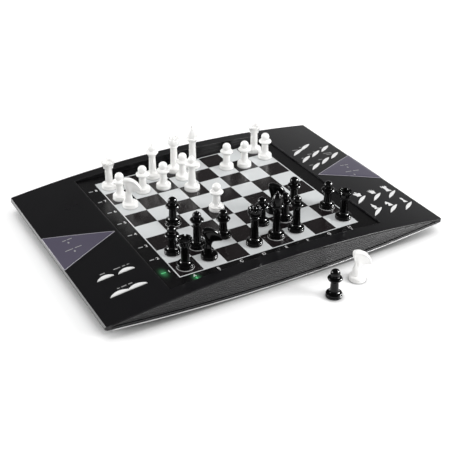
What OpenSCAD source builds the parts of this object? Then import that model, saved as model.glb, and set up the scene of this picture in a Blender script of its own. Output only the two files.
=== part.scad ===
// Electronic chess computer: a bow-shaped case with a sunken playing board,
// sprung keys on both wings and a full set of chess pieces.
// Millimetres. The origin is on the table under the centre of the board,
// +X towards the h file, +Y away from the player, +Z up.

/* [Board] */
// Side of one square of the board
square = 25; // [24.8:0.1:25.4]
// Height of the playing surface above the table
board_z = 22; // [21.8:0.1:22.4]
// Width of the well that holds the board
well_w = 236; // [234:1:238]
// Depth of the well that holds the board
well_d = 231; // [229:1:232]

/* [Case] */
// Width over both wings
case_w = 375; // [373:1:378]
// Distance from the board centre to the front wall
case_front = 129.4; // [129:0.1:131]
// Distance from the board centre to the back wall
case_back = 128; // [127:0.5:130]
// Height of the top surface at the middle
arch_mid_z = 28.75; // [28.5:0.05:29]
// Drop of the top surface from the middle to the wing tips
arch_drop = 13; // [12.8:0.1:13.2]
// Height of the underside at the middle
keel_z = 2; // [1.9:0.05:2.2]
// Rise of the underside from the middle to the wing tips
keel_rise = 10; // [9.8:0.1:10.1]
// Thickness of the lower housing, seen as the rim under the ribs
rim_h = 1.6; // [1.5:0.05:1.7]

/* [Ribbed front] */
// Number of ridges across the middle of the bow
rib_count = 9; // [6:1:9]
// Pitch of the ridges
rib_pitch = 2.2; // [2:0.1:2.3]
// Depth of the ribbed panel behind the rolled edge
rib_depth = 1; // [0.6:0.1:1.2]

/* [Keys] */
// Travel of a key
key_travel = 0.8; // [0.5:0.1:0.8]
// Height of a key above the case
key_proud = 1.4; // [1:0.1:2]

/* [Chess pieces] */
// Height of a pawn
pawn_h = 30.6; // [29:0.2:33]
// Height of a rook
rook_h = 32; // [30:0.2:34]
// Height of a bishop
bishop_h = 39.6; // [38:0.2:42]
// Height of a queen
queen_h = 42; // [40:0.2:45]
// Height of a king
king_h = 51; // [49:0.2:52]
// Radius of a pawn's foot
pawn_foot_r = 7.9; // [7.4:0.1:8]
// Radius of every other foot
foot_r = 8.3; // [8:0.1:8.5]
// Radius of the stems at the top
stem_r = 3.7; // [3.4:0.1:4]
// Radius of the stems above the foot
stem_foot_r = 5; // [4.6:0.1:5.2]
// Radius of the collars
collar_r = 6.5; // [6:0.1:6.8]
// Radius of a pawn's ball
ball_r = 4.3; // [4:0.1:4.6]
// Radius of the cups of rooks and queens
cup_r = 6.9; // [6.4:0.1:7.2]

/* [Hidden] */
$fn = 48;
arc_fn = 720;                                   // fineness of the big case arcs
reach = 200;                                    // longer than any half of the case
half_w = case_w / 2;
function bow_r(half, rise) = (half * half + rise * rise) / (2 * rise);
arch_r = bow_r(half_w, arch_drop);
keel_r = bow_r(half_w, keel_rise);
function arch_z(x) = arch_mid_z - arch_r + sqrt(arch_r * arch_r - x * x);
function keel_at(x) = keel_z + keel_r - sqrt(keel_r * keel_r - x * x);
function part_z(x) = rim_h + keel_at(x);        // parting face of the two housings
corner_r = 2.5;                                 // plan corners
inner_corner_r = 1;
roof_t = 1.8;                                   // wall under the arch
wall_t = 3;                                     // front and back walls
tip_t = 9.5;                                    // solid wing tips
fit = 0.3;                                      // gap round a moving piece
tip_bevel = 1.6;                                // side of the square that breaks the tip edge

rib_end_x = half_w - 6;                         // ends of the ridges and of the rolled edge
rib_top = 2;                                    // top of the ribbed panel below the arch
rib_root = 0.4;                                 // how far the ridges run in under the rolled edge
rib_rim = 1.4;                                  // plain band between the panel and the rim
rib_first = 1.2;
rib_foot = 0.75;                                // half width of a ridge at its foot
rib_crest = 0.2;                                // half width of a ridge at its crest
rib_sink = 0.05;                                // the crests stand this far inside the front wall
roll_r = 1.3;                                   // rolled front edge
roll_proud = 0.6;
function sweep_half(r) = asin(rib_end_x / r);

overlay_t = 0.8;                                // printed board sheet
sensor_t = 1.6;                                 // pressure-sensing board below it
tray_t = 2;                                     // floor and walls of the well
tray_top = board_z - overlay_t - sensor_t;
tray_z = tray_top - tray_t;

squares = 8;
lamp_l = 4.6;                                   // signal windows beside the ranks and files
lamp_w = 1.2;
lamp_proud = 0.15;
rank_lamp_x = -111;
file_lamp_y = -109.6;

inlay_apex_x = 121.5;                           // triangular side inlays
inlay_edge_x = half_w - 1.2;
inlay_back_y = 33;
inlay_front_y = -30;
inlay_sink = 1;
inlay_proud = 0.5;

key_wall = 0.2;                                 // key flange under the roof
flange_t = 0.8;
flange_w = 1.2;
flange_x = [120.3, 174];                        // from the well side to the wing tip
flange_top = roof_t + key_wall;
flange_bot = flange_top + flange_t;
mat_top = flange_bot + key_travel + 0.1;
mat_t = 0.6;
key_board_t = 0.8;
rest_gap = 0.05;
mat_x = [121, 173.6];                           // from the well side to the wing tip

crescent = 4.4;                                 // bulge of the keys on the left
// Keys: [name, x, y, turn, length, back bulge, front bulge, lobes]
left_keys = [
    ["key_power", -159.8, -66, 0, 17, crescent, 0, 1],
    ["key_display", -139.1, -67, 0, 17, crescent, 0, 1],
    ["key_training", -149.3, -95, 0, 37, crescent, 0, 2]];
leaf_l = 22;
leaf_turn = 34;
leaf_back = 2.4;
leaf_front = 1.3;
lobe_share = 0.54;                              // one lobe of a double key, by its length
waist_share = 0.43;                             // waist between the lobes, by their bulge
menu_x = 131.3;                                 // first menu key
menu_y = 38.3;
menu_pitch_x = 19.4;
menu_slope = 9.4;                               // each column stands this much further back
menu_row = 19.8;
piece_key_x = 131;                              // first key of the piece block
piece_key_y = -67.3;
piece_key_pitch = 20.2;
piece_key_row = 28;
double_l = 42;
double_turn = 31;
menu_keys = concat(
    [["key_menu_double", 141, 62.5, double_turn, double_l, leaf_back, leaf_front, 2]],
    [for (row = [0, 1]) for (col = [0 : 2])
        [str("key_menu_", 1 + 3 * row + col), menu_x + col * menu_pitch_x,
            menu_y + col * menu_slope - row * menu_row,
            leaf_turn, leaf_l, leaf_back, leaf_front, 1]]);
piece_names = ["king", "queen", "rook", "bishop", "knight", "pawn"];
piece_keys = [for (i = [0 : 5])
    [str("key_", piece_names[i]), piece_key_x + (i % 3) * piece_key_pitch,
        piece_key_y - floor(i / 3) * piece_key_row,
        leaf_turn, leaf_l, leaf_back, leaf_front, 1]];
keys = concat(left_keys, menu_keys, piece_keys);

post_r = 3.6;                                   // case screws and their posts
boss_h = 3.2;
screw_seat = 1.5;
screw_head_r = 2.6;
screw_head_t = 1.6;
screw_r = 1.4;
screw_l = 6.5;
cross_l = 3;                                    // cross recess of a screw head
cross_w = 0.6;
post_spots = [[-150, -119], [150, -119], [-150, 118], [150, 118],
    [-60, -121.2], [60, -121.2], [-60, 119.8], [60, 119.8]];

pad_spots = [[-95, -100], [95, -100], [-95, 100], [95, 100], [0, 0]];
pad_r = 8;
pad_t = 2.4;
pad_edge = 0.8;
pad_boss_r = 10;
pad_boss_z = 1.7;

bay_y = 42;                                     // battery bay, centred across the case
bay_w = 34.8;
bay_l = 51;
bay_wall = 2.4;
bay_roof_z = 15.4;
bay_roof_t = 1.2;
cell_r = 5.25;
cell_l = 43.5;
contact_r = 1.9;
spring_r = [2.2, 3.4];                          // contact spring at the cell and at the wall
cell_pitch = 11.1;
cell_z = keel_z + rim_h + 0.5 + cell_r;
door_w = 37.4;
door_l = 53.4;
door_gap = 0.35;
door_pin_r = 0.6;
door_pin_bore_r = 0.65;
door_pin_l = 1.6;
door_barrel_r = 0.8;
door_pin_z = keel_z + door_barrel_r + 0.15;
door_pin_y = bay_y + door_l / 2 - door_barrel_r;
door_lug = 4;                                   // side of the lugs that hold the hinge pins
thumb_r = 8;                                    // thumb hollow in the free end of the door
thumb_dip = 0.7;

speaker_at = [72, 52];
speaker_r = 18;
speaker_seat_z = 7.4;
speaker_frame_t = 1.2;
speaker_ledge = 1.5;                            // width of the ledge under the frame
cone_h = 3;
magnet_r = 9;
magnet_h = 2.6;
speaker_ring_t = 1.6;
grille_pitch = 4.4;
grille_hole_r = 1.1;
grille_r = 14;
grille_half = 3;                                // rows of holes on each side of the middle

board_w = 96;                                   // controller board
board_l = 58;
board_at = [0, -52];
controller_z = 8.4;
standoff_r = 2.6;
standoff_inset = 5;
pcb_t = 1.6;
chip_w = 18;
chip_h = 2.2;
port = [10, 6, 2.4];
port_at = [-28, 8];                             // from the middle of the board
can_r = 2.2;
can_h = 4.5;
can_pitch = 6;
can_at = [22, -14];
cans = 4;
rest_rows = [-108, -80, -50, 4, 72];            // blocks that carry the key boards
rest_t = 3;
strips = [[-1, -79, 62], [1, -17, 186]];        // key boards: [side, middle, length]

flange_out = 0.5;                               // foot of a chess piece
flange_h = 0.8;
foot_rim_h = 4;
rim_soft = 0.7;
shoulder_in = 1.7;
shoulder_h = 4.6;
collar_t = 2.6;
bishop_ball_r = 4.1;
knob_r = 1.9;
cup_h = 8.4;                                    // cups of rooks and queens
cup_rim = 2.6;
cup_wall = 2;
notch_w = 2.2;
queen_cup_h = 12.4;
point_h = 2;
points = 8;
notch_r = 1.5;
king_head_h = 14.6;
king_dome_r = 4.6;
// Side of the knight: broad neck, ears, long arched forehead, nose and throat
knight_side = [[-4.8, 6], [-4.4, 12], [-4.2, 18], [-5, 22], [-6.5, 26], [-6.8, 29.6], [-5.2, 32],
    [-1.5, 33], [3, 31.8], [7.4, 29], [10.4, 25], [12.2, 20.4], [12, 18.6], [10, 18],
    [7.5, 18.1], [5.6, 17.2], [4.4, 15], [4.2, 11], [4.8, 6]];
// Front of the knight: wide jaw, narrower neck and crest
knight_front = [[-4.6, 6], [-3.9, 13], [-4.6, 20], [-4.4, 26], [-2.8, 33], [2.8, 33],
    [4.4, 26], [4.6, 20], [3.9, 13], [4.6, 6]];

case_black = [0.13, 0.13, 0.14];
rubber_black = [0.07, 0.07, 0.07];
piece_white = [0.93, 0.92, 0.9];
piece_black = [0.05, 0.05, 0.05];
key_pearl = [0.88, 0.88, 0.87];
inlay_grey = [0.33, 0.31, 0.38];
board_green = [0.07, 0.3, 0.16];
steel_grey = [0.7, 0.7, 0.72];

// ---- Case surfaces ----

// Everything under the arch, sunk inwards by depth
module under_arch(depth = 0)
    translate([0, 0, arch_mid_z - arch_r])
        rotate([90, 0, 0])
            cylinder(r = arch_r - depth, h = 2 * reach, center = true, $fn = arc_fn);

// Everything above the keel, lifted inwards by lift
module above_keel(lift = 0)
    translate([0, 0, keel_z + keel_r])
        rotate([90, 0, 0])
            cylinder(r = keel_r - lift, h = 2 * reach, center = true, $fn = arc_fn);

// A layer that follows the arch between two depths
module arch_layer(top, bottom)
    difference() {
        under_arch(top);
        under_arch(bottom);
    }

// A sharp or rounded rectangle from corner to corner
module slab(x0, y0, x1, y1, r = 0)
    if (r == 0)
        translate([x0, y0]) square([x1 - x0, y1 - y0]);
    else {
        translate([x0 + r, y0]) square([x1 - x0 - 2 * r, y1 - y0]);
        translate([x0, y0 + r]) square([x1 - x0, y1 - y0 - 2 * r]);
        for (x = [x0 + r, x1 - r]) for (y = [y0 + r, y1 - r])
            translate([x, y]) circle(r);
    }

// The plan of the case, drawn in by ix at the tips and iy front and back
module case_plan(ix = 0, iy = 0, r = corner_r)
    linear_extrude(2 * arch_mid_z)
        slab(-half_w + ix, -case_front + iy, half_w - ix, case_back - iy, r);

// A box centred on x and y between two heights
module block(w, l, z0, z1, at = [0, 0])
    translate([at[0] - w / 2, at[1] - l / 2, z0]) cube([w, l, z1 - z0]);

// ---- Upper housing ----

module case_shell()
    difference() {
        intersection() {
            case_plan();
            under_arch();
            above_keel(rim_h);
        }
        difference() {
            intersection() {
                case_plan(tip_t, wall_t, inner_corner_r);
                under_arch(roof_t);
            }
            block(well_w + 2 * tray_t, well_d + 2 * tray_t, tray_z, 2 * arch_mid_z);
        }
        rib_panel();
    }

// The shallow panel between the rolled edge and the rim
module rib_panel()
    intersection() {
        translate([-rib_end_x, -case_front - 1, 0])
            cube([2 * rib_end_x, 1 + rib_depth, 2 * arch_mid_z]);
        under_arch(rib_top);
        above_keel(rim_h + rib_rim);
    }

// One ridge: a small pitched roof carried along the keel curve
module ridge(lift)
    keel_sweep()
        translate([keel_r - lift, case_front - rib_depth - rib_sink])
            polygon([[-rib_foot, 0], [-rib_crest, rib_depth], [rib_crest, rib_depth], [rib_foot, 0]]);

// Carries a profile drawn as [radius, distance forwards] along the keel
module keel_sweep()
    translate([0, 0, keel_z + keel_r])
        rotate([90, 0, 0])
            rotate([0, 0, 270 - sweep_half(keel_r)])
                rotate_extrude(angle = 2 * sweep_half(keel_r), $fn = arc_fn) children();

// Carries a profile drawn as [radius, distance forwards] along the arch
module arch_sweep()
    translate([0, 0, arch_mid_z - arch_r])
        rotate([90, 0, 0])
            rotate([0, 0, 90 - sweep_half(arch_r)])
                rotate_extrude(angle = 2 * sweep_half(arch_r), $fn = arc_fn) children();

// The ridges run parallel to the keel and die out under the rolled edge
module front_ribs()
    intersection() {
        union()
            for (i = [0 : rib_count - 1])
                ridge(rim_h + rib_rim + rib_first + i * rib_pitch);
        under_arch(rib_top - rib_root);
    }

module rolled_edge()
    arch_sweep()
        translate([arch_r - roll_r, case_front - roll_r + roll_proud]) circle(roll_r);

// The edge broken along each wing tip
module tip_chamfer()
    for (side = [-1, 1])
        translate([side * half_w, 0, arch_z(half_w)])
            rotate([0, 45, 0]) cube([tip_bevel, 2 * reach, tip_bevel], center = true);

module tray()
    intersection() {
        block(well_w + 2 * tray_t, well_d + 2 * tray_t, tray_z, 2 * arch_mid_z);
        under_arch(roof_t / 2);
    }

module screw_posts()
    intersection() {
        for (p = post_spots)
            translate([p[0], p[1], part_z(p[0]) + boss_h])
                cylinder(r = post_r, h = arch_mid_z);
        under_arch(roof_t / 2);
    }

module side_triangle()
    for (side = [-1, 1])
        linear_extrude(2 * arch_mid_z)
            polygon([[side * inlay_apex_x, 0], [side * inlay_edge_x, inlay_back_y],
                [side * inlay_edge_x, inlay_front_y]]);

module upper_housing()
    color(case_black)
        difference() {
            union() {
                case_shell();
                front_ribs();
                rolled_edge();
                tray();
                screw_posts();
            }
            block(well_w, well_d, tray_top, 2 * arch_mid_z);
            for (k = keys)
                translate([0, 0, keel_z]) linear_extrude(2 * arch_mid_z) key_outline(k, fit);
            difference() {
                side_triangle();
                under_arch(inlay_sink);
            }
            tip_chamfer();
            for (p = post_spots)
                translate([p[0], p[1], 0])
                    cylinder(r = screw_r, h = part_z(p[0]) + screw_seat + screw_l + 0.6);
        }

// ---- Lower housing ----

module rim_sheet()
    difference() {
        intersection() {
            case_plan();
            above_keel();
        }
        above_keel(rim_h);
    }

module rim_bead()
    keel_sweep()
        translate([keel_r - rim_h / 2, case_front - 0.2]) circle(rim_h / 2 - 0.1);

module screw_bosses()
    for (p = post_spots)
        translate([p[0], p[1], 0])
            cylinder(r = post_r + 0.6, h = part_z(p[0]) + boss_h);

module foot_bosses()
    difference() {
        for (p = pad_spots)
            translate([p[0], p[1], pad_boss_z])
                cylinder(r = pad_boss_r, h = part_z(p[0]) - pad_boss_z);
        above_keel(rim_h);
    }

module battery_bay()
    difference() {
        union() {
            block(bay_w + 2 * bay_wall, bay_l + 2 * bay_wall, keel_z + rim_h / 2,
                bay_roof_z + bay_roof_t, [0, bay_y]);
            for (side = [-1, 1])
                block(door_lug, door_lug, keel_z, keel_z + door_lug,
                    [side * (door_w / 2 + door_gap + door_lug / 2), door_pin_y]);
        }
        block(bay_w, bay_l, 0, bay_roof_z, [0, bay_y]);
    }

// A stepped ring that seats the speaker
module speaker_ring()
    translate([speaker_at[0], speaker_at[1], 0])
        difference() {
            cylinder(r = speaker_r + fit + speaker_ring_t, h = speaker_seat_z + speaker_frame_t);
            translate([0, 0, -1]) cylinder(r = speaker_r - speaker_ledge, h = 2 * arch_mid_z);
            translate([0, 0, speaker_seat_z]) cylinder(r = speaker_r + fit, h = arch_mid_z);
        }

module grille_holes()
    for (i = [-grille_half : grille_half]) for (j = [-grille_half : grille_half]) {
        x = grille_pitch * (i + j / 2);
        y = grille_pitch * j * sqrt(3) / 2;
        if (x * x + y * y < grille_r * grille_r)
            translate([speaker_at[0] + x, speaker_at[1] + y, 0])
                cylinder(r = grille_hole_r, h = arch_mid_z / 2);
    }

module standoffs()
    for (x = [-1, 1]) for (y = [-1, 1])
        translate([board_at[0] + x * (board_w / 2 - standoff_inset),
                board_at[1] + y * (board_l / 2 - standoff_inset), 0])
            cylinder(r = standoff_r, h = controller_z);

// Blocks that carry the key boards under the wings
module key_board_rests()
    intersection() {
        for (strip = strips) for (y = rest_rows)
            if (abs(y - strip[1]) < strip[2] / 2)
                block(mat_x[1] - mat_x[0] - 2 * rest_t, rest_t, 0, arch_mid_z,
                    [strip[0] * (mat_x[0] + mat_x[1]) / 2, y]);
        under_arch(mat_top + mat_t + key_board_t + rest_gap);
    }

module lower_housing()
    color(case_black)
        difference() {
            union() {
                rim_sheet();
                rim_bead();
                foot_bosses();
                intersection() {
                    above_keel(rim_h / 2);
                    union() {
                        screw_bosses();
                        battery_bay();
                        speaker_ring();
                        standoffs();
                        key_board_rests();
                    }
                }
            }
            block(door_w + 2 * door_gap, door_l + 2 * door_gap, -1, keel_z + rim_h + 0.25,
                [0, bay_y]);
            block(bay_w, bay_l, -1, bay_roof_z, [0, bay_y]);
            grille_holes();
            for (p = post_spots) {
                translate([p[0], p[1], 0])
                    cylinder(r = screw_head_r + fit, h = part_z(p[0]) + screw_seat);
                translate([p[0], p[1], 0])
                    cylinder(r = screw_r + fit, h = arch_mid_z);
            }
            for (p = pad_spots)
                translate([p[0], p[1], 0]) cylinder(r = pad_r, h = pad_t);
            translate([0, door_pin_y, door_pin_z])
                rotate([0, 90, 0])
                    cylinder(r = door_pin_bore_r, h = door_w + 2 * (door_gap + door_pin_l),
                        center = true);
        }

// ---- Board, boards and inner pieces ----

module lamp_slots(z0, z1)
    for (i = [0 : squares - 1]) {
        block(lamp_l, lamp_w, z0, z1, [rank_lamp_x, (i - 3.5) * square]);
        block(lamp_w, lamp_l, z0, z1, [(i - 3.5) * square, file_lamp_y]);
    }

module board_overlay()
    color([0.2, 0.19, 0.19])
        difference() {
            block(well_w, well_d, board_z - overlay_t, board_z);
            lamp_slots(0, board_z + 1);
        }

module led_windows()
    color([0.75, 0.78, 0.76])
        lamp_slots(board_z - overlay_t, board_z + lamp_proud);

module side_inlays()
    color(inlay_grey)
        intersection() {
            side_triangle();
            arch_layer(-inlay_proud, inlay_sink);
        }

module key_strip(top, thick)
    intersection() {
        for (strip = strips)
            block(mat_x[1] - mat_x[0], strip[2], 0, 2 * arch_mid_z,
                [strip[0] * (mat_x[0] + mat_x[1]) / 2, strip[1]]);
        arch_layer(top, top + thick);
    }

module key_mats()
    color(rubber_black)
        key_strip(mat_top, mat_t);

module circuit_boards()
    color(board_green) {
        block(well_w, well_d, tray_top, tray_top + sensor_t);
        key_strip(mat_top + mat_t, key_board_t);
        block(board_w, board_l, controller_z, controller_z + pcb_t, board_at);
        translate([0, 0, controller_z + pcb_t]) {
            block(chip_w, chip_w, 0, chip_h, board_at);
            block(port[0], port[1], 0, port[2], board_at + port_at);
            for (i = [0 : cans - 1])
                translate([board_at[0] + can_at[0] + i * can_pitch, board_at[1] + can_at[1], 0])
                    cylinder(r = can_r, h = can_h);
        }
    }

module speaker()
    color(steel_grey)
        translate([speaker_at[0], speaker_at[1], speaker_seat_z]) {
            cylinder(r = speaker_r, h = speaker_frame_t);
            translate([0, 0, speaker_frame_t])
                cylinder(r1 = speaker_r - 2, r2 = magnet_r + 0.5, h = cone_h);
            translate([0, 0, speaker_frame_t + cone_h]) cylinder(r = magnet_r, h = magnet_h);
        }

// Three cells side by side, each between a flat contact and a coil-spring contact
module battery_cells()
    color(steel_grey)
        for (i = [-1 : 1])
            translate([i * cell_pitch, bay_y, cell_z])
                rotate([i == 0 ? 90 : -90, 0, 0]) {
                    cylinder(r = cell_r, h = cell_l, center = true);
                    cylinder(r = contact_r, h = bay_l / 2);
                    translate([0, 0, -bay_l / 2])
                        cylinder(r1 = spring_r[1], r2 = spring_r[0], h = (bay_l - cell_l) / 2);
                }

module battery_door()
    color(case_black)
        difference() {
            union() {
                intersection() {
                    difference() {
                        above_keel(0);
                        above_keel(rim_h);
                    }
                    union() {
                        block(door_w, door_l - door_barrel_r, 0, arch_mid_z / 2,
                            [0, bay_y - door_barrel_r / 2]);
                        translate([0, door_pin_y, door_pin_z])
                            rotate([0, 90, 0]) cylinder(r = door_barrel_r, h = door_w, center = true);
                    }
                }
                translate([0, door_pin_y, door_pin_z])
                    rotate([0, 90, 0])
                        cylinder(r = door_pin_r, h = door_w + 2 * (door_gap + door_pin_l - fit),
                            center = true);
            }
            translate([0, bay_y - door_l / 2 + thumb_r, keel_z + thumb_dip - thumb_r])
                sphere(r = thumb_r);
        }

module feet()
    color(rubber_black)
        for (p = pad_spots)
            translate([p[0], p[1], 0])
                rotate_extrude()
                    polygon([[0, 0], [pad_r - pad_edge, 0], [pad_r, pad_edge], [pad_r, pad_t], [0, pad_t]]);

module screws()
    color(steel_grey)
        for (p = post_spots)
            translate([p[0], p[1], part_z(p[0]) + screw_seat])
                difference() {
                    union() {
                        translate([0, 0, -screw_head_t]) cylinder(r = screw_head_r, h = screw_head_t);
                        cylinder(r = screw_r - 0.05, h = screw_l);
                    }
                    for (turn = [0, 90])
                        rotate([0, 0, turn])
                            block(cross_l, cross_w, -2 * screw_head_t, -screw_head_t / 2);
                }

// ---- Keys ----

// A leaf between two arcs: long, bulging back and front, grown all round
module leaf(long, back, front, grow = 0) {
    back_r = bow_r(long / 2, back);
    front_r = front > 0 ? bow_r(long / 2, front) : 0;
    intersection() {
        translate([0, back - back_r]) circle(back_r + grow, $fn = 96);
        if (front > 0)
            translate([0, front_r - front]) circle(front_r + grow, $fn = 96);
        else
            translate([-long, -grow]) square([2 * long, long]);
    }
}

// key: [name, x, y, turn, length, back bulge, front bulge, lobes]
module key_outline(k, grow = 0)
    translate([k[1], k[2]])
        rotate(k[3])
            if (k[7] == 1)
                leaf(k[4], k[5], k[6], grow);
            else {
                lobe = k[4] * lobe_share;
                for (side = [-1, 1])
                    translate([side * (k[4] - lobe) / 2, 0]) leaf(lobe, k[5], k[6], grow);
                slab(-lobe / 2, -grow - waist_share * k[6], lobe / 2, grow + waist_share * k[5]);
            }

module sprung_key(k)
    color(key_pearl)
        union() {
            intersection() {
                linear_extrude(2 * arch_mid_z) key_outline(k);
                arch_layer(-key_proud, flange_bot);
            }
            intersection() {
                linear_extrude(2 * arch_mid_z)
                    intersection() {
                        key_outline(k, flange_w);
                        for (side = [-1, 1])
                            translate([side * (flange_x[0] + flange_x[1]) / 2, 0])
                                square([flange_x[1] - flange_x[0], 2 * reach], center = true);
                    }
                arch_layer(flange_top, flange_bot);
            }
        }

// ---- Chess pieces ----
// Every turned outline is drawn as [radius, height] and turned round the Z axis.

module turned()
    rotate_extrude($fn = 64)
        intersection() {
            children();
            square([reach, reach]);
        }

// The foot that all pieces share: a thin flange, a rim with a soft top edge, a shoulder and
// the concave flare into the stem
module foot_outline(r) {
    square([r + flange_out, flange_h]);
    square([r - rim_soft, foot_rim_h]);
    square([r, foot_rim_h - rim_soft]);
    translate([r - rim_soft, foot_rim_h - rim_soft]) circle(rim_soft, $fn = 24);
    square([r - shoulder_in, shoulder_h]);
    difference() {
        square([r - shoulder_in, shoulder_h + r - shoulder_in - stem_foot_r]);
        translate([r - shoulder_in, shoulder_h + r - shoulder_in - stem_foot_r])
            circle(r - shoulder_in - stem_foot_r, $fn = 48);
    }
}

// A cone between two heights, as an outline
module taper(r0, r1, z0, z1)
    polygon([[0, z0], [r0, z0], [r1, z1], [0, z1]]);

// A disc with a round edge, as an outline
module disc(r, z, thick) {
    translate([0, z - thick / 2]) square([r - thick / 2, thick]);
    translate([r - thick / 2, z]) circle(thick / 2, $fn = 24);
}

// Foot and conical stem up to a height
module foot_and_stem(r, top_z) {
    foot_outline(r);
    taper(stem_foot_r, stem_r, shoulder_h, top_z);
}

module pawn()
    turned() {
        collar_z = pawn_h - 2 * ball_r - collar_t / 2;
        foot_and_stem(pawn_foot_r, collar_z);
        disc(collar_r, collar_z, collar_t);
        taper(collar_r - collar_t / 2, ball_r * 0.8, collar_z + collar_t / 2, pawn_h - 1.6 * ball_r);
        translate([0, pawn_h - ball_r]) circle(ball_r);
    }

module rook()
    difference() {
        turned() {
            foot_and_stem(foot_r, rook_h - cup_h);
            taper(stem_r, cup_r - 0.4, rook_h - cup_h, rook_h - cup_rim);
            translate([0, rook_h - cup_rim]) square([cup_r, cup_rim]);
            disc(stem_r + 1.2, rook_h - cup_h, 1.4);
        }
        translate([0, 0, rook_h - cup_rim]) cylinder(r = cup_r - cup_wall, h = 2 * cup_rim);
        for (turn = [0, 60, 120])
            rotate([0, 0, turn])
                block(4 * cup_r, notch_w, rook_h - cup_rim * 0.8, rook_h + 1);
    }

module bishop()
    turned() {
        collar_z = bishop_h - 2.8 * bishop_ball_r;
        foot_and_stem(foot_r, collar_z);
        taper(stem_r, collar_r, collar_z - 4, collar_z - 0.6);
        disc(collar_r + 0.2, collar_z, 1.6);
        taper(collar_r - 1, bishop_ball_r * 0.8, collar_z + 0.8, collar_z + 2.4);
        translate([0, bishop_h - 1.5 * bishop_ball_r]) circle(bishop_ball_r);
        taper(bishop_ball_r * 0.75, knob_r * 0.4, bishop_h - 0.9 * bishop_ball_r, bishop_h - knob_r);
        translate([0, bishop_h - knob_r * 0.6]) circle(knob_r * 0.6, $fn = 24);
    }

module queen()
    difference() {
        turned() {
            foot_and_stem(foot_r, queen_h - queen_cup_h);
            disc(stem_r + 1.6, queen_h - queen_cup_h + 0.6, 1.6);
            taper(stem_r + 0.8, cup_r - 0.3, queen_h - queen_cup_h + 1, queen_h - 0.65 * queen_cup_h);
            taper(cup_r - 0.3, cup_r, queen_h - 0.65 * queen_cup_h, queen_h - point_h);
            translate([0, queen_h - 2.4]) circle(2.4);
            translate([0, queen_h - 2 * point_h]) square([cup_r, point_h]);
        }
        difference() {
            translate([0, 0, queen_h - 2 * point_h]) cylinder(r = cup_r - cup_wall, h = 3 * point_h);
            translate([0, 0, queen_h - 2 * point_h]) cylinder(r1 = 3.4, r2 = 1.6, h = point_h);
            translate([0, 0, queen_h - 2.4]) sphere(r = 2.4);
        }
        for (i = [0 : points - 1])
            rotate([0, 0, (i + 0.5) * 360 / points])
                translate([cup_r, 0, queen_h - point_h])
                    rotate([0, 90, 0]) cylinder(r = notch_r, h = 2 * cup_wall, center = true);
    }

module king()
    turned() {
        brim_z = king_h - king_head_h;
        foot_and_stem(foot_r, brim_z);
        taper(stem_r, collar_r, brim_z - 4.4, brim_z - 0.8);
        disc(collar_r, brim_z, 1.6);
        taper(king_dome_r, king_dome_r - 0.3, brim_z, brim_z + 4.4);
        taper(king_dome_r - 0.3, knob_r * 0.8, brim_z + 4.4, king_h - 1.3 * knob_r);
        translate([0, king_h - knob_r]) circle(knob_r, $fn = 32);
    }

module knight()
    union() {
        turned() foot_outline(foot_r);
        intersection() {
            rotate([90, 0, 0])
                linear_extrude(2 * foot_r, center = true) polygon(knight_side);
            rotate([90, 0, 90])
                linear_extrude(4 * foot_r, center = true) polygon(knight_front);
        }
    }

module chess_piece(kind)
    if (kind == "pawn") pawn();
    else if (kind == "rook") rook();
    else if (kind == "knight") knight();
    else if (kind == "bishop") bishop();
    else if (kind == "queen") queen();
    else king();

// Position of play: [node, kind, file, rank, nudge in x, nudge in y, turn]
white_army = [
    ["white_rook_1", "rook", 1, 8, -2, 0, 0], ["white_rook_2", "rook", 8, 8, 3, -1, 15],
    ["white_knight_1", "knight", 1, 6, 1, 2.5, -35], ["white_bishop_1", "bishop", 3, 8, -1, -1, 0],
    ["white_bishop_2", "bishop", 4, 6, -1, 4, 0], ["white_queen", "queen", 4, 8, 1, 0.5, 10],
    ["white_king", "king", 5, 8, -2, -1.5, -25], ["white_pawn_1", "pawn", 1, 7, -1.5, -2.5, 0],
    ["white_pawn_2", "pawn", 2, 7, 1, 0, 0], ["white_pawn_3", "pawn", 3, 7, -1, -3, 0],
    ["white_pawn_4", "pawn", 4, 7, 1.5, 5.5, 0], ["white_pawn_5", "pawn", 4, 4, 1, 3.5, 0],
    ["white_pawn_6", "pawn", 6, 7, 5, 3, 0], ["white_pawn_7", "pawn", 7, 7, 0, -2, 0],
    ["white_pawn_8", "pawn", 8, 7, 5.5, 4, 0]];
black_army = [
    ["black_rook_1", "rook", 1, 1, -1, -0.5, 0], ["black_rook_2", "rook", 8, 1, 4.5, 0, 20],
    ["black_knight_1", "knight", 2, 1, 1, 2.5, -20], ["black_knight_2", "knight", 6, 3, 0, -4.5, -35],
    ["black_bishop_1", "bishop", 2, 2, 0, 0, 0], ["black_bishop_2", "bishop", 6, 1, 0, 4, 0],
    ["black_queen", "queen", 4, 1, 0.5, 2, 0], ["black_king", "king", 5, 1, 1.5, 3.5, -25],
    ["black_pawn_1", "pawn", 1, 2, -1, 1.5, 0], ["black_pawn_2", "pawn", 2, 4, -1, 0, 0],
    ["black_pawn_3", "pawn", 3, 2, 6, 4, 0], ["black_pawn_4", "pawn", 5, 2, 1.5, 6, 0],
    ["black_pawn_5", "pawn", 6, 2, 1.5, 2.5, 0], ["black_pawn_6", "pawn", 7, 3, 2.5, 1, 0],
    ["black_pawn_7", "pawn", 8, 2, 3, 1.5, 0]];
// Captured pieces standing on the table: [node, kind, x, y, turn]
captured = [["white_knight_2", "knight", 59.9, -158, -30], ["black_pawn_8", "pawn", 24.1, -170, 0]];

module placed(p)
    translate([(p[2] - 4.5) * square + p[4], (p[3] - 4.5) * square + p[5], board_z])
        rotate([0, 0, p[6]]) chess_piece(p[1]);

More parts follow.
